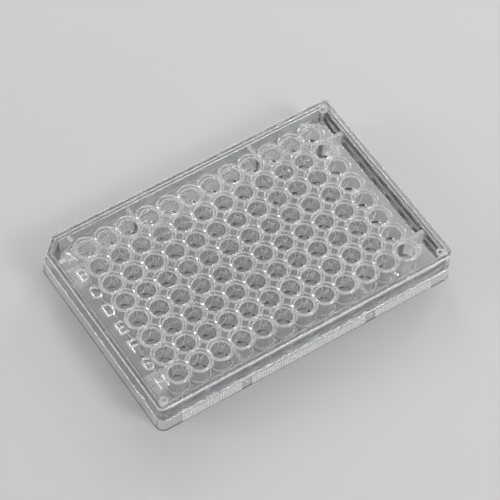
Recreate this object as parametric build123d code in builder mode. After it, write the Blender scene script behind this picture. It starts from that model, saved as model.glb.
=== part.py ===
from build123d import *
import math
import os

# Ninety-six-well plate with its loose lid, two clear mouldings.
# Millimetres, +Z up. The origin is the centre of the underside. Column 1 is towards -X and row A
# towards +Y, so well A1 is at the corner that is cut off at 45 degrees.

# Skirt: the open frame that the plate stands on
plate_length = 127.76
plate_width = 85.48
skirt_height = 5.75
skirt_lean = 0.5
skirt_thickness = 1.2
skirt_corner_radius = 3.2
skirt_a1_radius = 4.0
skirt_edge_round = 0.3

# Bands of upright half-round ridges along the two long sides of the skirt
ridge_pitch = 1.05
ridge_depth = 0.38
ridge_recess = 0.05
ridge_foot = 0.4
ridge_height = 4.3
ridge_reach = 54.5
ridge_gap_half = 2.15

# Gate marks on the front of the skirt, one between each two bands
gate_radius = 0.5
gate_level = 4.0
gate_relief = 0.2

# Wall: stands on the skirt's ledge and carries the lid
ledge_width = 1.1
wall_height = 7.85
wall_top_thickness = 1.3
wall_foot_thickness = 2.2
wall_corner_radius = 2.2
wall_edge_round = 0.2
a1_cut = 4.98

# Tray: the floor between the wall and the wells
floor_drop = 7.5
floor_thickness = 1.2
tray_corner_radius = 2.0

# Wells, as many columns and rows as the tray has room for beside its clearances
tray_end_clearance = 5.0
tray_side_clearance = 2.0
well_pitch = 9.0
well_radius = 3.5
well_foot_radius = 3.2
well_depth = 10.9
well_wall = 0.75
well_foot_wall = 0.8
well_base = 1.2
well_rim_drop = 0.15
well_rim_bevel = 0.2
well_foot_bevel = 0.5
well_flare = 0.35

# Ribs that tie the wall to the block of wells
rib_thickness = 1.5
rib_drop = 0.9
rib_pitches_out = 3
rib_bite = 0.7

# Lid
lid_clearance = 0.3
lid_lift = 1.2
lid_skirt_thickness = 0.85
lid_seat_gap = 0.1
lid_seat_width = 1.45
lid_seat_height = 0.45
lid_panel_thickness = 0.8
lid_bead_overhang = 0.25
lid_bead_width = 1.7
lid_bead_height = 0.35
lid_bead_depth = 1.3
lid_edge_round = 0.25

# Condensation rings under the lid, one over each well, with sloping sides
ring_inner_radius = 4.5
ring_width = 0.8
ring_height = 0.3
ring_crest = 0.36

# Row letters under the lid, each drawn as strokes with round ends and sloping sides
letter_height = 5.7
letter_width = 4.0
letter_stroke = 0.95
letter_relief = 0.35
letter_slope = 35
letter_column_gap = 7.4
letter_drop = 0.45

# Spacer pips under the lid: two long ones beside the cut corner, a round one at each other corner
long_pip_length = 3.3
long_pip_width = 1.3
long_pip_from_corner = 11.45
long_pip_from_edge = 2.3
round_pip_radius = 1.6
round_pip_from_edge = 3.85
round_pip_bore = 0.95

# Levels and insets that follow from the sizes above
wall_inset = skirt_lean + ledge_width
wall_top = skirt_height + wall_height
floor_top = wall_top - floor_drop
rim_level = wall_top - well_rim_drop
cut_growth = 2 - math.sqrt(2)
lid_inner_inset = wall_inset - lid_clearance
lid_outer_inset = lid_inner_inset - lid_skirt_thickness
lid_bead_inset = lid_outer_inset - lid_bead_overhang
lid_edge_level = skirt_height + lid_lift
lid_seat_level = wall_top + lid_seat_gap
lid_panel_level = lid_seat_level + lid_seat_height
lid_panel_top = lid_panel_level + lid_panel_thickness
lid_top = lid_panel_top + lid_bead_height
tray_inset = wall_inset + wall_foot_thickness
well_room = 2 * (well_radius + well_wall)
column_room = plate_length - 2 * (tray_inset + tray_end_clearance) - well_room
row_room = plate_width - 2 * (tray_inset + tray_side_clearance) - well_room
well_columns = math.floor(column_room / well_pitch) + 1
well_rows = math.floor(row_room / well_pitch) + 1
row_levels = [(well_rows - 1 - 2 * row) * well_pitch / 2 for row in range(well_rows)]
block_half_length = (well_columns - 1) * well_pitch / 2
block_half_width = (well_rows - 1) * well_pitch / 2


def toward_a1(vertex):
    """How far a vertex lies towards the corner by well A1."""
    return vertex.Y - vertex.X


def skirt_outline(sketch, inset):
    """Draw the skirt's outline, `inset` inside the footprint, with the larger rounding at A1."""
    Rectangle(plate_length - 2 * inset, plate_width - 2 * inset)
    corners = sorted(sketch.vertices(), key=toward_a1)
    fillet(corners[:3], skirt_corner_radius - inset)
    a1_corner = max(sketch.vertices(), key=toward_a1)
    fillet(a1_corner, skirt_a1_radius - inset)


def cut_outline(sketch, inset, radius):
    """Draw the outline shared by wall and lid, `inset` inside the footprint, with A1 cut off."""
    Rectangle(plate_length - 2 * inset, plate_width - 2 * inset)
    corners = sorted(sketch.vertices(), key=toward_a1)
    fillet(corners[:3], radius)
    a1_corner = max(sketch.vertices(), key=toward_a1)
    chamfer(a1_corner, a1_cut + (wall_inset - inset) * cut_growth)


def ridge_band(start, end):
    """Draw the strip that is cut away from x = start to x = end and leaves the ridges standing."""
    count = round((end - start) / ridge_pitch)
    step = (end - start) / count
    valley = ridge_recess + ridge_depth
    with BuildLine() as outline:
        Polyline((start, valley), (start, -ridge_depth), (end, -ridge_depth), (end, valley))
        for ridge in range(count):
            left = start + ridge * step
            ThreePointArc((left, valley), (left + step / 2, ridge_recess), (left + step, valley))
    make_face(outline.edges())


def stroke(start, end):
    """Raise one straight stroke with round ends under the lid's panel."""
    run = Vector(*end) - Vector(*start)
    with BuildSketch(Plane.XY.offset(lid_panel_level)) as outline:
        with Locations((Vector(*start) + Vector(*end)) / 2):
            angle = math.degrees(math.atan2(run.Y, run.X))
            SlotCenterToCenter(run.length, letter_stroke, rotation=angle)
    extrude(outline.sketch, amount=-letter_relief, taper=letter_slope)


def bend(centre, radius, start_angle, sweep):
    """Raise one curved stroke with round ends under the lid's panel."""
    with BuildSketch(Plane.XY.offset(lid_panel_level)) as outline:
        SlotArc(CenterArc(centre, radius, start_angle, sweep, mode=Mode.PRIVATE), letter_stroke)
    extrude(outline.sketch, amount=-letter_relief, taper=letter_slope)


def raise_letter(letter, y):
    """Raise a plain capital from A to H, centred in the letter column at height y."""
    w = (letter_width - letter_stroke) / 2
    h = (letter_height - letter_stroke) / 2
    x = -block_half_length - letter_column_gap
    if letter == "A":
        stroke((x - w, y - h), (x, y + h))
        stroke((x, y + h), (x + w, y - h))
        stroke((x - 0.7 * w, y - 0.4 * h), (x + 0.7 * w, y - 0.4 * h))
    if letter in "BDEFH":
        stroke((x - w, y - h), (x - w, y + h))
    if letter == "H":
        stroke((x + w, y - h), (x + w, y + h))
        stroke((x - w, y), (x + w, y))
    if letter in "EF":
        stroke((x - w, y + h), (x + w, y + h))
        stroke((x - w, y), (x + 0.7 * w, y))
    if letter == "E":
        stroke((x - w, y - h), (x + w, y - h))
    if letter == "B":
        for level in (-h, 0, h):
            stroke((x - w, y + level), (x + w - h / 2, y + level))
        bend((x + w - h / 2, y + h / 2), h / 2, -90, 180)
        bend((x + w - h / 2, y - h / 2), h / 2, -90, 180)
    if letter == "D":
        stroke((x - w, y + h), (x, y + h))
        stroke((x - w, y - h), (x, y - h))
        stroke((x + w, y - h + w), (x + w, y + h - w))
        bend((x, y + h - w), w, 0, 90)
        bend((x, y - h + w), w, -90, 90)
    if letter in "CG":
        stroke((x - w, y - h + w), (x - w, y + h - w))
        bend((x, y + h - w), w, 20, 160)
        bend((x, y - h + w), w, 180, 160)
    if letter == "G":
        stroke((x, y - 0.1 * h), (x + w, y - 0.1 * h))
        stroke((x + w, y - 0.1 * h), (x + w, y - h + w))


# ---------------------------------------------------------------------------------------------
# Section of one well, from its axis outwards
# ---------------------------------------------------------------------------------------------
well_floor = rim_level - well_depth
well_underside = well_floor - well_base
outer_foot_radius = well_foot_radius + well_foot_wall
outer_rim_radius = well_radius + well_wall
outer_slope = (outer_rim_radius - outer_foot_radius) / (rim_level - well_underside)
flare_foot = floor_top - floor_thickness / 2
flare_foot_radius = outer_foot_radius + outer_slope * (flare_foot - well_underside)
flare_top = floor_top + well_flare
flare_top_radius = outer_foot_radius + outer_slope * (flare_top - well_underside)
with BuildPart() as cup:
    with BuildSketch(Plane.XZ) as cup_section:
        with BuildLine():
            Polyline(
                (0, well_underside),
                (outer_foot_radius, well_underside),
                (flare_foot_radius, flare_foot),
                (flare_foot_radius + well_flare, flare_foot),
                (flare_foot_radius + well_flare, floor_top),
                (flare_top_radius, flare_top),
                (outer_rim_radius, rim_level),
                (well_radius, rim_level),
                (well_foot_radius, well_floor),
                (0, well_floor),
                close=True,
            )
        make_face()
        rim_corners = cup_section.vertices().group_by(Axis.Y)[-1]
        chamfer(rim_corners, well_rim_bevel)
        foot_corners = [v for v in cup_section.vertices() if v.X > 1 and v.Y < well_floor + 0.01]
        chamfer(foot_corners, well_foot_bevel)
    revolve(axis=Axis.Z)

# ---------------------------------------------------------------------------------------------
# Plate
# ---------------------------------------------------------------------------------------------
with BuildPart() as plate:
    # Skirt
    with BuildSketch(Plane.XY) as skirt_base:
        skirt_outline(skirt_base, 0)
    with BuildSketch(Plane.XY.offset(skirt_height)) as skirt_top:
        skirt_outline(skirt_top, skirt_lean)
    loft(ruled=True)
    fillet(plate.edges().group_by(Axis.Z)[-1], skirt_edge_round)

    # Wall
    with BuildSketch(Plane.XY.offset(skirt_height)) as wall_base:
        cut_outline(wall_base, wall_inset, wall_corner_radius)
    extrude(amount=wall_height)

    # Tray, wider at the top than at the floor
    with BuildSketch(Plane.XY.offset(floor_top)) as tray_foot:
        cut_outline(tray_foot, tray_inset, tray_corner_radius)
    with BuildSketch(Plane.XY.offset(wall_top)) as tray_mouth:
        cut_outline(tray_mouth, wall_inset + wall_top_thickness, tray_corner_radius)
    loft(ruled=True, mode=Mode.SUBTRACT)
    fillet(plate.edges().group_by(Axis.Z)[-1], wall_edge_round)

    # Hollow under the tray
    floor_underside = floor_top - floor_thickness
    hollow_lean = skirt_lean * floor_underside / skirt_height
    with BuildSketch(Plane.XY) as hollow_base:
        skirt_outline(hollow_base, skirt_thickness)
    with BuildSketch(Plane.XY.offset(floor_underside)) as hollow_top:
        skirt_outline(hollow_top, skirt_thickness + hollow_lean)
    loft(ruled=True, mode=Mode.SUBTRACT)

    # Ribs from the wall to the outer wells
    rib_level = rim_level - rib_drop
    rib_place = rib_pitches_out * well_pitch
    rib_end_x = plate_length / 2 - wall_inset - rib_bite
    rib_end_y = plate_width / 2 - wall_inset - rib_bite
    with BuildSketch(Plane.XY.offset(floor_underside + floor_thickness / 2)):
        for side in (-1, 1):
            with Locations((0, side * rib_place)):
                Rectangle(2 * rib_end_x, rib_thickness)
            with Locations((side * rib_place, 0)):
                Rectangle(rib_thickness, 2 * rib_end_y)
        Rectangle(2 * block_half_length, 2 * block_half_width, mode=Mode.SUBTRACT)
    extrude(amount=rib_level - floor_underside - floor_thickness / 2)

    # Holes in the tray, then the wells in them
    with BuildSketch(Plane.XY.offset(floor_underside)):
        with GridLocations(well_pitch, well_pitch, well_columns, well_rows):
            Circle(well_radius + well_wall / 2)
    extrude(amount=rim_level - floor_underside, mode=Mode.SUBTRACT)
    with GridLocations(well_pitch, well_pitch, well_columns, well_rows):
        add(cup.part)

    # Ridged bands, which lean in with the skirt
    for side in (-1, 1):
        face_plane = Plane(
            origin=(0, side * (plate_width / 2 - skirt_lean * ridge_foot / skirt_height), ridge_foot),
            x_dir=(-side, 0, 0),
            z_dir=(0, -side * skirt_lean, skirt_height),
        )
        with BuildSketch(face_plane):
            ridge_band(-ridge_reach, -rib_place - ridge_gap_half)
            ridge_band(-rib_place + ridge_gap_half, rib_place - ridge_gap_half)
            ridge_band(rib_place + ridge_gap_half, ridge_reach)
        extrude(amount=ridge_height, mode=Mode.SUBTRACT)

    # Gate marks in the two gaps between the front bands
    gate_face = plate_width / 2 - skirt_lean * gate_level / skirt_height
    with BuildSketch(Plane.XZ.offset(gate_face - skirt_thickness / 2)):
        with Locations((-rib_place, gate_level), (rib_place, gate_level)):
            Circle(gate_radius)
    extrude(amount=skirt_thickness / 2 + gate_relief)

plate.part.label = "plate"

# ---------------------------------------------------------------------------------------------
# Lid
# ---------------------------------------------------------------------------------------------
ring_foot_level = lid_panel_level + lid_panel_thickness / 2
ring_slope_run = (ring_width - ring_crest) / 2
ring_outer_radius = ring_inner_radius + ring_width
with BuildPart() as ring:
    with BuildSketch(Plane.XZ):
        Polygon(
            (ring_inner_radius, ring_foot_level),
            (ring_inner_radius, lid_panel_level),
            (ring_inner_radius + ring_slope_run, lid_panel_level - ring_height),
            (ring_outer_radius - ring_slope_run, lid_panel_level - ring_height),
            (ring_outer_radius, lid_panel_level),
            (ring_outer_radius, ring_foot_level),
            align=None,
        )
    revolve(axis=Axis.Z)

with BuildPart() as lid:
    # Skirt, and the bead round its top
    with BuildSketch(Plane.XY.offset(lid_edge_level)) as lid_skirt:
        cut_outline(lid_skirt, lid_outer_inset, wall_corner_radius)
    extrude(amount=lid_top - lid_bead_depth - lid_edge_level)
    with BuildSketch(Plane.XY.offset(lid_top - lid_bead_depth)) as lid_bead:
        cut_outline(lid_bead, lid_bead_inset, wall_corner_radius)
    extrude(amount=lid_bead_depth)
    with BuildSketch(Plane.XY.offset(lid_top)) as lid_dish:
        cut_outline(lid_dish, lid_bead_inset + lid_bead_width, wall_corner_radius)
    extrude(amount=-lid_bead_height, mode=Mode.SUBTRACT)
    fillet(lid.edges().group_by(Axis.Z)[-1], lid_edge_round / 2)

    # Room for the plate's wall, with the seat that rests on it
    with BuildSketch(Plane.XY.offset(lid_edge_level)) as lid_mouth:
        cut_outline(lid_mouth, lid_inner_inset, wall_corner_radius)
    extrude(amount=lid_seat_level - lid_edge_level, mode=Mode.SUBTRACT)
    with BuildSketch(Plane.XY.offset(lid_seat_level)) as lid_seat:
        cut_outline(lid_seat, lid_inner_inset + lid_seat_width, tray_corner_radius)
    extrude(amount=lid_seat_height, mode=Mode.SUBTRACT)

    # Row letters
    for letter, level in zip("ABCDEFGH", row_levels):
        raise_letter(letter, level - letter_drop)

    # Condensation rings
    with GridLocations(well_pitch, well_pitch, well_columns, well_rows):
        add(ring.part)

    # Spacer pips
    with BuildSketch(Plane.XY.offset(lid_panel_level)):
        long_pip_centre = long_pip_from_edge + long_pip_length / 2
        with Locations((long_pip_centre - plate_length / 2, plate_width / 2 - long_pip_from_corner)):
            SlotOverall(long_pip_length, long_pip_width)
        with Locations((long_pip_from_corner - plate_length / 2, plate_width / 2 - long_pip_centre)):
            SlotOverall(long_pip_length, long_pip_width, rotation=90)
        for side_x, side_y in ((1, 1), (1, -1), (-1, -1)):
            centre_x = side_x * (plate_length / 2 - round_pip_from_edge)
            centre_y = side_y * (plate_width / 2 - round_pip_from_edge)
            with Locations((centre_x, centre_y)):
                Circle(round_pip_radius)
                Circle(round_pip_bore, mode=Mode.SUBTRACT)
    extrude(amount=-lid_seat_height)

lid.part.label = "lid"

os.makedirs("parts", exist_ok=True)
export_step(plate.part, "parts/plate.step")
export_step(lid.part, "parts/lid.step")
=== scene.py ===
"""Looks for the clear ninety-six-well plate and its lid.

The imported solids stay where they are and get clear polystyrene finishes. The satin on the raised
detail and the small well codes are modelled here, and so are the studio and the camera.
"""

import logging
import math
from dataclasses import dataclass, replace
from enum import Enum

import bpy
from mathutils import Matrix, Vector


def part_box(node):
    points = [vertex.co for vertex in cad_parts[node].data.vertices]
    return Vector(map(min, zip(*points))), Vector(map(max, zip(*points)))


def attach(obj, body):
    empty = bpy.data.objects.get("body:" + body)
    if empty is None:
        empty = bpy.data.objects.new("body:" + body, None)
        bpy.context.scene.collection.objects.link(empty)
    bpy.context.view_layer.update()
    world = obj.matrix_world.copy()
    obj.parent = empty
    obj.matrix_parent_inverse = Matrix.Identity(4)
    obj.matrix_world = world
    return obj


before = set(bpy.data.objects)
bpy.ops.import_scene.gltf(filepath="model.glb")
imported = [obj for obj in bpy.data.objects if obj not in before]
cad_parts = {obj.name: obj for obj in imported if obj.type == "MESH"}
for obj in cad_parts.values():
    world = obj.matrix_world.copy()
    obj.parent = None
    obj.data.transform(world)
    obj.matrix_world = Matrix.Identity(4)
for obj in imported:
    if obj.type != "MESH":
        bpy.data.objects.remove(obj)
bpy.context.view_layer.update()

MM = 0.001
BODY = "root"
LOG = logging.getLogger("well_plate")
Range = tuple[float, float]


class Polish(Enum):
    """Least and greatest roughness that the steel of the mould leaves on a surface."""

    MIRROR = (0.015, 0.05)
    SATIN = (0.22, 0.38)


class Etching(Enum):
    """Share of the light that goes on through a satin surface, the rest being scattered."""

    STRONG = 0.5
    LIGHT = 0.65
    FAINT = 0.86


# -------------------------------------------------------------------------------------------------
# Helpers
# -------------------------------------------------------------------------------------------------
def deselect_all() -> None:
    """Leave nothing selected, whatever mode is on."""
    if bpy.context.mode != "OBJECT":
        bpy.ops.object.mode_set(mode="OBJECT")
    bpy.ops.object.select_all(action="DESELECT")


def pick(piece: bpy.types.Object) -> None:
    """Make one object the only selected and the active one.

    Args:
        piece: The object to work on.
    """
    deselect_all()
    piece.select_set(True)
    bpy.context.view_layer.objects.active = piece


def settle(piece: bpy.types.Object, name: str) -> bpy.types.Object:
    """Move an object's place into its mesh, so that it sits at the origin.

    Args:
        piece: The finished mesh object.
        name: The name that the piece keeps.

    Returns:
        The same object.
    """
    pick(piece)
    bpy.ops.object.transform_apply(location=True, rotation=True, scale=True)
    piece.name = name
    piece.data.name = name
    return piece


def join(parts: list[bpy.types.Object], name: str) -> bpy.types.Object:
    """Join several mesh objects into one piece.

    Args:
        parts: The objects to join.
        name: The name of the joined piece.

    Returns:
        The joined piece, sitting at the origin.
    """
    deselect_all()
    for part in parts:
        part.select_set(True)
    bpy.context.view_layer.objects.active = parts[0]
    bpy.ops.object.join()
    return settle(parts[0], name)


def weld(piece: bpy.types.Object, within: float = 0.001 * MM) -> None:
    """Merge the corners that neighbouring faces of a mesh share.

    Args:
        piece: The mesh object, which is left the active one.
        within: How far apart corners may lie and still count as one.
    """
    pick(piece)
    bpy.ops.object.mode_set(mode="EDIT")
    bpy.ops.mesh.select_all(action="SELECT")
    bpy.ops.mesh.remove_doubles(threshold=within)
    bpy.ops.object.mode_set(mode="OBJECT")


def set_input(node: bpy.types.Node, name: str, value: object) -> None:
    """Set one plain socket of a node.

    Args:
        node: The node to change.
        name: The socket's name.
        value: The value it gets.
    """
    node.inputs[name].default_value = value


def bearing(azimuth: float, elevation: float) -> Vector:
    """Return the direction from the plate towards a camera or a lamp.

    Args:
        azimuth: Degrees round the plate from its front, towards +X.
        elevation: Degrees above the table.

    Returns:
        A vector of length one.
    """
    turn, rise = math.radians(azimuth), math.radians(elevation)
    flat = math.cos(rise)
    return Vector((math.sin(turn) * flat, -math.cos(turn) * flat, math.sin(rise)))


def span(centre: float, reach: float) -> Range:
    """Return the range that reaches as far to both sides of a value.

    Args:
        centre: The value in the middle.
        reach: The distance to each end.

    Returns:
        The low and the high end.
    """
    return centre - reach, centre + reach


def outward(side: int, near: float, far: float) -> Range:
    """Return a range on one side of zero.

    Args:
        side: 1 for the positive side, -1 for the negative one.
        near: Distance of the near end from zero.
        far: Distance of the far end from zero.

    Returns:
        The low and the high end.
    """
    return (near, far) if side > 0 else (-far, -near)


# -------------------------------------------------------------------------------------------------
# Finishes
# -------------------------------------------------------------------------------------------------
@dataclass(frozen=True)
class MouldFlow:
    """Node group for the faint unevenness of an injection moulding.

    Attributes:
        name: The group's name.
        flow_detail: Octaves in the flow marks.
        flow_roughness: How strong the finer octaves are.
        flow_distortion: How far the flow marks are drawn out.
        grain_detail: Octaves in the grain.
        least: Value of the blended noise where a surface is smoothest.
        most: Value of the blended noise where it is roughest.
    """

    name: str = "mould_flow"
    flow_detail: float = 3.0
    flow_roughness: float = 0.55
    flow_distortion: float = 0.6
    grain_detail: float = 2.0
    least: float = 0.12
    most: float = 0.42

    def group(self) -> bpy.types.NodeTree:
        """Return the group, built the first time it is asked for.

        Returns:
            A shader node tree with outputs Roughness and Height.
        """
        known = bpy.data.node_groups.get(self.name)
        return known if known else self._build()

    def _build(self) -> bpy.types.NodeTree:
        """Build the group.

        Returns:
            The new node tree.
        """
        tree = bpy.data.node_groups.new(self.name, "ShaderNodeTree")
        face = tree.interface
        face.new_socket("Vector", in_out="INPUT", socket_type="NodeSocketVector")
        for socket in ("Flow Scale", "Grain Scale", "Smoothest", "Roughest"):
            face.new_socket(socket, in_out="INPUT", socket_type="NodeSocketFloat")
        for socket in ("Roughness", "Height"):
            face.new_socket(socket, in_out="OUTPUT", socket_type="NodeSocketFloat")
        entry = tree.nodes.new("NodeGroupInput")
        leave = tree.nodes.new("NodeGroupOutput")
        flow = tree.nodes.new("ShaderNodeTexNoise")
        set_input(flow, "Detail", self.flow_detail)
        set_input(flow, "Roughness", self.flow_roughness)
        set_input(flow, "Distortion", self.flow_distortion)
        grain = tree.nodes.new("ShaderNodeTexNoise")
        set_input(grain, "Detail", self.grain_detail)
        blend = tree.nodes.new("ShaderNodeMath")
        blend.operation = "MULTIPLY"
        spread = tree.nodes.new("ShaderNodeMapRange")
        set_input(spread, "From Min", self.least)
        set_input(spread, "From Max", self.most)
        link = tree.links.new
        link(entry.outputs["Vector"], flow.inputs["Vector"])
        link(entry.outputs["Vector"], grain.inputs["Vector"])
        link(entry.outputs["Flow Scale"], flow.inputs["Scale"])
        link(entry.outputs["Grain Scale"], grain.inputs["Scale"])
        link(flow.outputs["Fac"], blend.inputs[0])
        link(grain.outputs["Fac"], blend.inputs[1])
        link(blend.outputs["Value"], spread.inputs["Value"])
        link(entry.outputs["Smoothest"], spread.inputs["To Min"])
        link(entry.outputs["Roughest"], spread.inputs["To Max"])
        link(spread.outputs["Result"], leave.inputs["Roughness"])
        link(flow.outputs["Fac"], leave.inputs["Height"])
        return tree


@dataclass(frozen=True)
class ClearStyrene:
    """Clear polystyrene, as moulded.

    Attributes:
        name: The material's name.
        tint: What the surface passes of each colour.
        polish: The polish of the mould behind the surface.
        flow_scale: Flow marks per metre.
        grain_scale: Grains per metre.
        ripple: Strength of the ripple in the surface.
        ripple_depth: Depth of the ripple.
        index: Refractive index.
        clarity: Share of the light that goes on through the surface, the rest being scattered.
        depth_colour: What is left of white light after a long way through the plastic.
        depth_density: How fast the plastic takes on that colour, per metre.
        shade: What one surface passes of the light that falls through it.
    """

    name: str
    tint: tuple[float, float, float] = (0.988, 0.99, 0.991)
    polish: Polish = Polish.MIRROR
    flow_scale: float = 45.0
    grain_scale: float = 900.0
    ripple: float = 0.008
    ripple_depth: float = 0.2 * MM
    index: float = 1.59
    clarity: float = 1.0
    depth_colour: tuple[float, float, float] = (0.75, 0.765, 0.772)
    depth_density: float = 150.0
    shade: float = 0.94

    @classmethod
    def satin(cls, name: str, etching: Etching) -> "ClearStyrene":
        """Return the finish of detail that was moulded against etched steel.

        Args:
            name: The material's name.
            etching: How strong the etching is.

        Returns:
            A finish without depth, for a fine skin.
        """
        return cls(name, polish=Polish.SATIN, clarity=etching.value, depth_density=0.0)

    def material(self) -> bpy.types.Material:
        """Build the material.

        Returns:
            The finished material.
        """
        made = bpy.data.materials.new(self.name)
        made.use_nodes = True
        tree = made.node_tree
        shader = tree.nodes["Principled BSDF"]
        set_input(shader, "Base Color", (*self.tint, 1.0))
        set_input(shader, "Transmission Weight", self.clarity)
        set_input(shader, "IOR", self.index)
        self._mark_surface(tree, shader)
        self._let_light_through(tree, shader)
        if self.depth_density > 0.0:
            self._deepen(tree)
        return made

    def _mark_surface(self, tree: bpy.types.NodeTree, shader: bpy.types.Node) -> None:
        """Give the surface its flow marks and its grain.

        Args:
            tree: The material's node tree.
            shader: The Principled BSDF.
        """
        place = tree.nodes.new("ShaderNodeTexCoord")
        flow = tree.nodes.new("ShaderNodeGroup")
        flow.node_tree = MouldFlow().group()
        smoothest, roughest = self.polish.value
        set_input(flow, "Flow Scale", self.flow_scale)
        set_input(flow, "Grain Scale", self.grain_scale)
        set_input(flow, "Smoothest", smoothest)
        set_input(flow, "Roughest", roughest)
        bump = tree.nodes.new("ShaderNodeBump")
        set_input(bump, "Strength", self.ripple)
        set_input(bump, "Distance", self.ripple_depth)
        tree.links.new(place.outputs["Object"], flow.inputs["Vector"])
        tree.links.new(flow.outputs["Roughness"], shader.inputs["Roughness"])
        tree.links.new(flow.outputs["Height"], bump.inputs["Height"])
        tree.links.new(bump.outputs["Normal"], shader.inputs["Normal"])

    def _let_light_through(self, tree: bpy.types.NodeTree, shader: bpy.types.Node) -> None:
        """Let lamplight pass straight through, so that the shadow under the plate stays light.

        Args:
            tree: The material's node tree.
            shader: The Principled BSDF that everything else sees.
        """
        rays = tree.nodes.new("ShaderNodeLightPath")
        either = tree.nodes.new("ShaderNodeMath")
        either.operation = "MAXIMUM"
        clear = tree.nodes.new("ShaderNodeBsdfTransparent")
        set_input(clear, "Color", (self.shade, self.shade, self.shade, 1.0))
        blend = tree.nodes.new("ShaderNodeMixShader")
        leave = tree.nodes["Material Output"]
        tree.links.new(rays.outputs["Is Shadow Ray"], either.inputs[0])
        tree.links.new(rays.outputs["Is Diffuse Ray"], either.inputs[1])
        tree.links.new(either.outputs["Value"], blend.inputs["Fac"])
        tree.links.new(shader.outputs["BSDF"], blend.inputs[1])
        tree.links.new(clear.outputs["BSDF"], blend.inputs[2])
        tree.links.new(blend.outputs["Shader"], leave.inputs["Surface"])

    def _deepen(self, tree: bpy.types.NodeTree) -> None:
        """Let the plastic take a little of the light on the way through it.

        Args:
            tree: The material's node tree.
        """
        depth = tree.nodes.new("ShaderNodeVolumeAbsorption")
        set_input(depth, "Color", (*self.depth_colour, 1.0))
        set_input(depth, "Density", self.depth_density)
        tree.links.new(depth.outputs["Volume"], tree.nodes["Material Output"].inputs["Volume"])


# -------------------------------------------------------------------------------------------------
# Detail that lies on the mouldings
# -------------------------------------------------------------------------------------------------
@dataclass(frozen=True)
class WellGrid:
    """Where the wells stand, shared by everything that is placed by them.

    Attributes:
        columns: Number of columns, along +X.
        rows: Number of rows, along -Y from row A.
        pitch: Distance between neighbouring wells.
    """

    columns: int = 12
    rows: int = 8
    pitch: float = 9.0 * MM

    @property
    def half_length(self) -> float:
        """Distance from the middle of the plate to the centres of the end columns."""
        return (self.columns - 1) / 2 * self.pitch

    @property
    def half_width(self) -> float:
        """Distance from the middle of the plate to the centres of the outer rows."""
        return (self.rows - 1) / 2 * self.pitch

    def centre(self, row: int, column: int) -> Vector:
        """Return the centre of a well, counted from zero at A1.

        Args:
            row: Row number, 0 for row A.
            column: Column number, 0 for column 1.

        Returns:
            The centre in plan, at height zero.
        """
        x = (column - (self.columns - 1) / 2) * self.pitch
        y = ((self.rows - 1) / 2 - row) * self.pitch
        return Vector((x, y, 0.0))


@dataclass
class WellCodes:
    """Raised well codes on the tray, one in each space between four wells.

    Attributes:
        grid: Where the wells stand.
        level: Height of the tray floor.
        height: Size of the letters.
        boldness: How much their strokes are widened on each side.
        relief: Half of their thickness, which text is given to both sides.
        lift: Their distance from the tray floor.
        curve_steps: Straight steps in each curve of a letter.
    """

    grid: WellGrid
    level: float
    height: float = 2.3 * MM
    boldness: float = 0.03 * MM
    relief: float = 0.12 * MM
    lift: float = 0.02 * MM
    curve_steps: int = 3

    def code(self, row: int, column: int) -> bpy.types.Object:
        """Model one code, in the corner of its well towards A1.

        Args:
            row: Row number, 0 for row A.
            column: Column number, 0 for column 1.

        Returns:
            The code as a mesh object.
        """
        half = self.grid.pitch / 2
        corner = Vector((-half, half, self.level + self.lift + self.relief))
        deselect_all()
        bpy.ops.object.text_add(location=self.grid.centre(row, column) + corner)
        text = bpy.context.active_object
        text.data.body = f"{'ABCDEFGH'[row]}{column + 1}"
        text.data.size = self.height
        text.data.align_x = "CENTER"
        text.data.align_y = "CENTER"
        text.data.offset = self.boldness
        text.data.extrude = self.relief
        text.data.resolution_u = self.curve_steps
        bpy.ops.object.convert(target="MESH")
        return bpy.context.active_object

    def build(self) -> bpy.types.Object:
        """Model all the codes as one piece.

        Returns:
            The finished piece.
        """
        codes = [
            self.code(row, column)
            for row in range(1, self.grid.rows)
            for column in range(1, self.grid.columns)
        ]
        piece = join(codes, "well_codes")
        weld(piece)
        piece.data.materials.clear()
        piece.data.materials.append(ClearStyrene.satin("code_satin", Etching.STRONG).material())
        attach(piece, BODY)
        return piece


@dataclass(frozen=True)
class Zone:
    """Box that picks faces of a moulding by their centres.

    Attributes:
        x: Range along the plate's length.
        y: Range along its width.
        z: Range of heights.
    """

    x: Range
    y: Range
    z: Range

    def holds(self, place: Vector) -> bool:
        """Say whether a point lies in the zone.

        Args:
            place: The point.

        Returns:
            True if it does.
        """
        ranges = (self.x, self.y, self.z)
        return all(low < value < high for (low, high), value in zip(ranges, place))


@dataclass(frozen=True)
class RidgeZone(Zone):
    """Zone that leaves out the plain face of the skirt and keeps the ridges cut into it.

    Attributes:
        half_width: Half of the skirt's width at its foot.
        lean: How far the skirt leans in, as a share of the height.
        depths: Least and greatest depth behind the plain face.
    """

    half_width: float
    lean: float
    depths: Range = (0.02 * MM, 0.6 * MM)

    def holds(self, place: Vector) -> bool:
        """Say whether a point lies in the zone and as far behind the plain face as the ridges.

        Args:
            place: The point.

        Returns:
            True if it does.
        """
        least, greatest = self.depths
        depth = self.half_width - self.lean * place.z - abs(place.y)
        return super().holds(place) and least < depth < greatest


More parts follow.
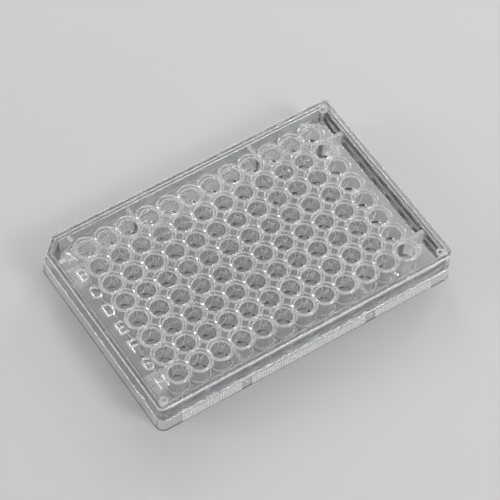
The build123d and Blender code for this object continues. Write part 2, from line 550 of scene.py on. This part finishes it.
@dataclass
class SatinSkin:
    """Fine satin skin over raised detail, where the steel of the mould was etched, not polished.

    Attributes:
        name: The piece's name, and its material's.
        node: The moulding that it lies on.
        zones: Where it lies.
        etching: How strong the etching is.
        lift: Its distance from the moulding, below zero inside the plastic.
        thickness: Its thickness.
    """

    name: str
    node: str
    zones: tuple[Zone, ...]
    etching: Etching
    lift: float = 0.02 * MM
    thickness: float = 0.05 * MM

    def build(self) -> bpy.types.Object:
        """Copy the detail's faces, lift them off the moulding and give them a thickness.

        Returns:
            The finished piece.
        """
        skin = self._cut_out()
        bpy.ops.object.mode_set(mode="EDIT")
        bpy.ops.mesh.select_all(action="SELECT")
        bpy.ops.transform.shrink_fatten(value=self.lift)
        bpy.ops.object.mode_set(mode="OBJECT")
        wall = skin.modifiers.new("wall", "SOLIDIFY")
        wall.thickness = self.thickness
        wall.offset = 1.0
        bpy.ops.object.modifier_apply(modifier=wall.name)
        skin.data.materials.clear()
        skin.data.materials.append(ClearStyrene.satin(self.name, self.etching).material())
        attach(skin, BODY)
        return skin

    def _cut_out(self) -> bpy.types.Object:
        """Copy the moulding and keep only the faces in the zones.

        Returns:
            The copy, which is left the active object.
        """
        skin = bpy.data.objects.new(self.name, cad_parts[self.node].data.copy())
        bpy.context.scene.collection.objects.link(skin)
        skin.data.name = self.name
        weld(skin)
        # A strip one face wide stays selected in face mode only
        bpy.ops.object.mode_set(mode="EDIT")
        bpy.ops.mesh.select_mode(type="FACE")
        bpy.ops.mesh.select_all(action="DESELECT")
        bpy.ops.object.mode_set(mode="OBJECT")
        for face in skin.data.polygons:
            face.select = not any(zone.holds(face.center) for zone in self.zones)
        bpy.ops.object.mode_set(mode="EDIT")
        bpy.ops.mesh.delete(type="FACE")
        bpy.ops.object.mode_set(mode="OBJECT")
        return skin


# -------------------------------------------------------------------------------------------------
# The two mouldings
# -------------------------------------------------------------------------------------------------
@dataclass
class Moulding:
    """One packed moulding, which keeps its shape and gets its finish and its fine detail here.

    Attributes:
        node: The moulding's name.
        finish: Its clear finish.
        grid: Where the wells stand.
        slack: Room between a zone's edge and the surfaces that it takes in or leaves out.
        under: Lift of a skin that lies inside the plastic, under an outer surface.
    """

    node: str
    finish: ClearStyrene
    grid: WellGrid = WellGrid()
    slack: float = 0.01 * MM
    under: float = -0.08 * MM

    @property
    def top(self) -> float:
        """Height of the moulding's highest point."""
        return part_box(self.node)[1][2]

    @property
    def corner(self) -> Vector:
        """The corner of the plate's foot towards +X and +Y, from which its edges are measured."""
        return Vector(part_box("plate")[1][:2])

    def all_over(self, low: float, high: float) -> Zone:
        """Return the zone between two heights, over the whole moulding.

        Args:
            low: The lower height.
            high: The upper height.

        Returns:
            The zone.
        """
        reach = self.corner + Vector((self.slack, self.slack))
        return Zone(span(0.0, reach.x), span(0.0, reach.y), (low, high))

    def over_wells(self, margin: float, low: float, high: float) -> Zone:
        """Return the zone between two heights, over all the wells.

        Args:
            margin: How far it reaches past the centres of the outer wells.
            low: The lower height.
            high: The upper height.

        Returns:
            The zone.
        """
        along = span(0.0, self.grid.half_length + margin)
        across = span(0.0, self.grid.half_width + margin)
        return Zone(along, across, (low, high))

    def dress(self) -> bpy.types.Object:
        """Give the moulding its finish.

        Returns:
            The moulding's node.
        """
        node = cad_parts[self.node]
        made = self.finish.material()
        for slot in node.material_slots:
            slot.material = made
        return node

    def skin(self, name: str, etching: Etching, *zones: Zone, inside: bool = False) -> SatinSkin:
        """Plan one satin skin on this moulding.

        Args:
            name: The piece's name.
            etching: How strong the etching is.
            *zones: Where it lies.
            inside: Whether it lies inside the plastic.

        Returns:
            The skin, not built yet.
        """
        planned = SatinSkin(name, self.node, zones, etching)
        return replace(planned, lift=self.under) if inside else planned


@dataclass
class Plate(Moulding):
    """The plate: wells, tray, wall and skirt in one moulding.

    Attributes:
        well_margin: How far the wells' zones reach past the centres of the outer wells.
        rim_drop: How far the wells' rims lie below the top of the wall.
        rim_bevel: Height of the bevel on each rim.
        floor_drop: How far the tray floor lies below the top of the wall.
        flare: Height of the flare at the foot of each well.
        ledge_level: Height of the skirt's ledge.
        ledge_edge: How much of the ledge's round edge is satin, from the ledge down.
        skirt_lean: How far the skirt leans in, from its foot to the ledge.
        ridge_reach: Distance from the middle of the plate to the ends of the ridged bands.
        ridge_levels: Lowest and highest level of the ridges' zone.
        rib_pitches_out: Well pitches from the middle of a side to its ribs and gate marks.
        rib_thickness: Thickness of a rib.
        rib_drop: How far the ribs lie below the wells' rims.
        rib_margin: How far a rib's satin stays from the tray floor and from the well's centre.
        wall_inner: How far inside the plate's edge the wall's inner face is, halfway up.
        gate_level: Height of the gate marks.
        gate_reach: How far a gate mark's zone reaches from its centre.
        gate_depths: Least and greatest depth of that zone, behind the skirt's foot.
    """

    node: str = "plate"
    finish: ClearStyrene = ClearStyrene("plate_clear_styrene")
    well_margin: float = 5.0 * MM
    rim_drop: float = 0.15 * MM
    rim_bevel: float = 0.2 * MM
    floor_drop: float = 7.5 * MM
    flare: float = 0.35 * MM
    ledge_level: float = 5.75 * MM
    ledge_edge: float = 0.25 * MM
    skirt_lean: float = 0.5 * MM
    ridge_reach: float = 54.5 * MM
    ridge_levels: Range = (0.3 * MM, 4.9 * MM)
    rib_pitches_out: int = 3
    rib_thickness: float = 1.5 * MM
    rib_drop: float = 0.9 * MM
    rib_margin: float = 0.1 * MM
    wall_inner: float = 3.35 * MM
    gate_level: float = 4.0 * MM
    gate_reach: float = 0.6 * MM
    gate_depths: Range = (0.04 * MM, 0.285 * MM)

    @property
    def floor_level(self) -> float:
        """Height of the tray floor."""
        return self.top - self.floor_drop

    @property
    def rim_level(self) -> float:
        """Height of the wells' rims."""
        return self.top - self.rim_drop

    @property
    def rib_place(self) -> float:
        """Distance of the ribs and the gate marks from the middle of their side."""
        return self.rib_pitches_out * self.grid.pitch

    def rims(self) -> Zone:
        """Return the zone of the wells' bevelled rims."""
        low = self.rim_level - self.rim_bevel - self.slack
        return self.over_wells(self.well_margin, low, self.rim_level + self.slack)

    def feet(self) -> Zone:
        """Return the zone of the flares where the wells stand on the tray."""
        low, high = self.floor_level + self.slack, self.floor_level + self.flare - self.slack
        return self.over_wells(self.well_margin, low, high)

    def ledge(self) -> Zone:
        """Return the zone of the ledge's round edge, without the flat ledge."""
        high = self.ledge_level - self.slack / 2
        return self.all_over(self.ledge_level - self.ledge_edge, high)

    def ridges(self) -> Zone:
        """Return the zone of the ridges along both sides of the skirt.

        Returns:
            The zone, which leans in with the skirt.
        """
        return RidgeZone(
            span(0.0, self.ridge_reach + self.slack),
            span(0.0, self.corner.y),
            self.ridge_levels,
            half_width=self.corner.y,
            lean=self.skirt_lean / self.ledge_level,
        )

    def ribs(self) -> list[Zone]:
        """Return the zones of the ribs, two on each side of the plate.

        Returns:
            Eight zones.
        """
        thick = self.rib_thickness / 2 + self.slack
        high = self.rim_level - self.rib_drop + self.slack
        levels = (self.floor_level + self.rib_margin, high)
        near_x = self.grid.half_length + self.rib_margin
        near_y = self.grid.half_width + self.rib_margin
        zones = []
        for side in (-1, 1):
            along = outward(side, near_x, self.corner.x - self.wall_inner)
            across = outward(side, near_y, self.corner.y - self.wall_inner)
            for place in (-self.rib_place, self.rib_place):
                zones.append(Zone(along, span(place, thick), levels))
                zones.append(Zone(span(place, thick), across, levels))
        return zones

    def gates(self) -> list[Zone]:
        """Return the zones of the gate marks on the front of the skirt, in line with the ribs.

        Returns:
            Two zones.
        """
        nearest, deepest = self.gate_depths
        front = outward(-1, self.corner.y - deepest, self.corner.y - nearest)
        level = span(self.gate_level, self.gate_reach)
        return [
            Zone(span(place, self.gate_reach), front, level)
            for place in (-self.rib_place, self.rib_place)
        ]

    def codes(self) -> WellCodes:
        """Plan the well codes on the tray."""
        return WellCodes(self.grid, self.floor_level)

    def skins(self) -> list[SatinSkin]:
        """Plan the satin on the plate's raised detail.

        Returns:
            The skins, not built yet.
        """
        return [
            self.skin("rim_satin", Etching.LIGHT, self.rims()),
            self.skin("foot_satin", Etching.STRONG, self.feet()),
            self.skin("ledge_satin", Etching.LIGHT, self.ledge(), inside=True),
            self.skin("ridge_satin", Etching.STRONG, self.ridges()),
            self.skin("rib_satin", Etching.FAINT, *self.ribs()),
            self.skin("gate_satin", Etching.STRONG, *self.gates()),
        ]


@dataclass
class Lid(Moulding):
    """The loose lid: panel, skirt, bead, condensation rings, row letters and spacer pips.

    Attributes:
        bead_height: How far the bead stands above the panel.
        bead_side: How much of the bead's side is satin, from its top down.
        top_gap: How far the bead's satin stays below its top.
        panel_drop: How far the underside of the panel lies below the top of the bead.
        ring_margin: How far the rings' zone reaches past the centres of the outer wells.
        ring_height: How far the rings stand out of the panel.
        letter_column: Distance from the first column of wells to the column of letters.
        letter_reach: Half of the width of the letters' zone.
        letter_margin: How far the letters' zone reaches past the centres of the outer wells.
        letter_height: How far the letters stand out of the panel.
        pip_height: How far the pips stand out of the panel.
        pip_slack: How far a long pip's zone reaches past the pip.
        long_pip: Length and width of a long pip.
        long_pip_from_corner: Distance along an edge from the plate's corner to its middle.
        long_pip_from_edge: Distance from the plate's edge to its end.
        round_pip_reach: How far the satin reaches from a round pip's centre, onto the seat.
        round_pip_from_edge: Distance from the plate's edges to the centre of a round pip.
    """

    node: str = "lid"
    finish: ClearStyrene = ClearStyrene("lid_clear_styrene", flow_scale=30.0, ripple=0.005)
    bead_height: float = 0.35 * MM
    bead_side: float = 1.0 * MM
    top_gap: float = 0.002 * MM
    panel_drop: float = 1.15 * MM
    ring_margin: float = 5.37 * MM
    ring_height: float = 0.3 * MM
    letter_column: float = 7.4 * MM
    letter_reach: float = 2.2 * MM
    letter_margin: float = 5.0 * MM
    letter_height: float = 0.35 * MM
    pip_height: float = 0.45 * MM
    pip_slack: float = 0.03 * MM
    long_pip: tuple[float, float] = (3.3 * MM, 1.3 * MM)
    long_pip_from_corner: float = 11.45 * MM
    long_pip_from_edge: float = 2.3 * MM
    round_pip_reach: float = 1.87 * MM
    round_pip_from_edge: float = 3.85 * MM

    def under_panel(self, height: float) -> Range:
        """Return the heights of detail that stands out of the panel's underside.

        Args:
            height: How far the detail stands out.

        Returns:
            The low and the high end, without the flat underside itself.
        """
        panel = self.top - self.panel_drop
        return panel - height - self.slack, panel - self.slack

    def rings(self) -> Zone:
        """Return the zone of the condensation rings."""
        return self.over_wells(self.ring_margin, *self.under_panel(self.ring_height))

    def bead(self) -> list[Zone]:
        """Return the zones of the bead's sides and edges.

        Returns:
            One zone below the level of the panel's top and one above it, without the flat tops.
        """
        panel = self.top - self.bead_height
        beside, above = self.top - self.bead_side, self.top - self.top_gap
        return [
            self.all_over(beside, panel - 2 * self.slack),
            self.all_over(panel + 2 * self.slack, above),
        ]

    def letters(self) -> list[Zone]:
        """Return the zones of the row letters, which leave out the long pip beside the A.

        Returns:
            One zone for the letters below that pip and one for the rest of the A.
        """
        pip = self.long_pips()[0]
        centre = self.grid.half_length + self.letter_column
        inner, outer = -self.grid.half_length - self.ring_margin, -centre - self.letter_reach
        end = self.grid.half_width + self.letter_margin
        levels = self.under_panel(self.letter_height)
        return [
            Zone((outer, inner), (-end, pip.y[0]), levels),
            Zone((pip.x[1], inner), (pip.y[0], end), levels),
        ]

    def long_pips(self) -> list[Zone]:
        """Return the zones of the two long pips beside the cut corner.

        Returns:
            Two zones, that of the pip beside the A first.
        """
        length, width = self.long_pip
        levels = self.under_panel(self.pip_height)
        near, far = self.long_pip_from_edge + length / 2, self.long_pip_from_corner
        long, short = length / 2 + self.pip_slack, width / 2 + self.pip_slack
        return [
            Zone(span(near - self.corner.x, long), span(self.corner.y - far, short), levels),
            Zone(span(far - self.corner.x, short), span(self.corner.y - near, long), levels),
        ]

    def round_pips(self) -> list[Zone]:
        """Return the zones of the round pips, one at each corner that isn't cut off.

        Returns:
            Three zones.
        """
        reach, inset = self.round_pip_reach, self.round_pip_from_edge
        x, y = self.corner.x - inset, self.corner.y - inset
        levels = self.under_panel(self.pip_height)
        return [
            Zone(span(side_x * x, reach), span(side_y * y, reach), levels)
            for side_x, side_y in ((1, 1), (1, -1), (-1, -1))
        ]

    def skins(self) -> list[SatinSkin]:
        """Plan the satin on the lid's raised detail.

        Returns:
            The skins, not built yet.
        """
        pips = (*self.long_pips(), *self.round_pips())
        return [
            self.skin("ring_satin", Etching.LIGHT, self.rings()),
            self.skin("letter_satin", Etching.STRONG, *self.letters()),
            self.skin("pip_satin", Etching.STRONG, *pips),
            self.skin("bead_satin", Etching.STRONG, *self.bead(), inside=True),
        ]


# -------------------------------------------------------------------------------------------------
# Studio
# -------------------------------------------------------------------------------------------------
@dataclass
class Camera:
    """A long lens that looks down on the plate from its front left.

    Attributes:
        azimuth: Where it stands round the plate, in degrees.
        elevation: Its height above the table, in degrees.
        roll: Its turn about the line of sight, in degrees.
        distance: Its distance from what it looks at.
        lens: Focal length in millimetres.
        sensor: Width of the sensor in millimetres.
        clip: Nearest and farthest distance that it sees.
        target: The point that it looks at.
    """

    azimuth: float = -35.0
    elevation: float = 55.29
    roll: float = -2.44
    distance: float = 0.95234
    lens: float = 184.76
    sensor: float = 36.0
    clip: Range = (0.01, 50.0)
    target: tuple[float, float, float] = (3.86 * MM, 3.27 * MM, 7.0 * MM)

    def build(self) -> bpy.types.Object:
        """Place the camera and make it the scene's own.

        Returns:
            The camera object.
        """
        back = bearing(self.azimuth, self.elevation)
        right = Vector((0.0, 0.0, 1.0)).cross(back).normalized()
        axes = Matrix((right, back.cross(right), back)).transposed()
        spin = Matrix.Rotation(-math.radians(self.roll), 3, "Z")
        place = Matrix.Translation(Vector(self.target) + back * self.distance)
        data = bpy.data.cameras.new("plate_camera")
        data.lens = self.lens
        data.sensor_width = self.sensor
        data.clip_start, data.clip_end = self.clip
        camera = bpy.data.objects.new("plate_camera", data)
        camera.matrix_world = place @ (axes @ spin).to_4x4()
        bpy.context.scene.collection.objects.link(camera)
        bpy.context.scene.camera = camera
        return camera


@dataclass(frozen=True)
class SoftLamp:
    """One square soft lamp, aimed at the plate.

    Attributes:
        name: The lamp's name.
        azimuth: Where it stands round the plate, in degrees as for the camera.
        elevation: Its height above the table, in degrees.
        power: Its power in watts.
        distance: Its distance from the plate.
        size: The length of its side.
    """

    name: str
    azimuth: float
    elevation: float
    power: float
    distance: float = 1.5
    size: float = 0.45

    def build(self) -> bpy.types.Object:
        """Add the lamp.

        Returns:
            The lamp object.
        """
        towards = bearing(self.azimuth, self.elevation)
        data = bpy.data.lights.new(self.name, "AREA")
        data.shape = "SQUARE"
        data.size = self.size
        data.energy = self.power
        lamp = bpy.data.objects.new(self.name, data)
        lamp.location = towards * self.distance
        lamp.rotation_euler = towards.to_track_quat("Z", "Y").to_euler()
        bpy.context.scene.collection.objects.link(lamp)
        return lamp


@dataclass
class Studio:
    """Pale floor, soft lamps and a world that is darker towards the horizon.

    Attributes:
        floor_colour: Colour of the floor.
        floor_roughness: Roughness of the floor.
        floor_size: Length of the floor's side.
        horizon: Brightness of the dome at and below the horizon.
        zenith: Brightness of the dome overhead.
        full_height: Upward share of a direction at which the dome is as bright as overhead.
        bounces: How often light may be turned on its way through the plastic.
        lamps: The lamps.
    """

    floor_colour: tuple[float, float, float] = (0.61, 0.612, 0.616)
    floor_roughness: float = 0.65
    floor_size: float = 12.0
    horizon: float = 0.03
    zenith: float = 0.25
    full_height: float = 0.9
    bounces: int = 32
    lamps: tuple[SoftLamp, ...] = (
        SoftLamp("left_lamp", azimuth=-120.0, elevation=20.0, power=8.0),
        SoftLamp("right_lamp", azimuth=120.0, elevation=22.0, power=8.0),
        SoftLamp("back_lamp", azimuth=160.0, elevation=24.0, power=8.0),
        SoftLamp("front_lamp", azimuth=24.5, elevation=38.0, power=14.0),
    )

    def floor(self) -> bpy.types.Object:
        """Lay the floor that the plate stands on.

        Returns:
            The floor object.
        """
        deselect_all()
        bpy.ops.mesh.primitive_plane_add(size=self.floor_size)
        floor = settle(bpy.context.active_object, "studio_floor")
        made = bpy.data.materials.new("floor_paint")
        made.use_nodes = True
        shader = made.node_tree.nodes["Principled BSDF"]
        set_input(shader, "Base Color", (*self.floor_colour, 1.0))
        set_input(shader, "Roughness", self.floor_roughness)
        floor.data.materials.append(made)
        return floor

    def world(self) -> bpy.types.World:
        """Light the scene from a soft dome.

        Returns:
            The world.
        """
        world = bpy.data.worlds.new("studio_dome")
        bpy.context.scene.world = world
        world.use_nodes = True
        tree = world.node_tree
        sky = tree.nodes["Background"]
        set_input(sky, "Color", (1.0, 1.0, 1.0, 1.0))
        place = tree.nodes.new("ShaderNodeTexCoord")
        split = tree.nodes.new("ShaderNodeSeparateXYZ")
        ramp = tree.nodes.new("ShaderNodeMapRange")
        ramp.interpolation_type = "SMOOTHSTEP"
        set_input(ramp, "From Min", 0.0)
        set_input(ramp, "From Max", self.full_height)
        set_input(ramp, "To Min", self.horizon)
        set_input(ramp, "To Max", self.zenith)
        tree.links.new(place.outputs["Generated"], split.inputs["Vector"])
        tree.links.new(split.outputs["Z"], ramp.inputs["Value"])
        tree.links.new(ramp.outputs["Result"], sky.inputs["Strength"])
        return world

    def build(self) -> None:
        """Set up the floor, the world, the lamps and the colour management."""
        self.floor()
        self.world()
        for lamp in self.lamps:
            lamp.build()
        bpy.context.scene.view_settings.view_transform = "Standard"
        light_paths = bpy.context.scene.cycles
        light_paths.max_bounces = self.bounces
        light_paths.transmission_bounces = self.bounces
        light_paths.glossy_bounces = self.bounces
        light_paths.transparent_max_bounces = self.bounces


def main() -> None:
    """Build the camera, the studio and every piece, and log what was dressed and modelled."""
    logging.basicConfig(level=logging.INFO, format="%(name)s: %(message)s")
    Camera().build()
    Studio().build()
    plate, lid = Plate(), Lid()
    for moulding in (plate, lid):
        LOG.info("dressed %s", moulding.dress().name)
    for detail in (plate.codes(), *plate.skins(), *lid.skins()):
        piece = detail.build()
        LOG.info("modelled %s with %d faces", piece.name, len(piece.data.polygons))


if __name__ == "__main__":
    main()
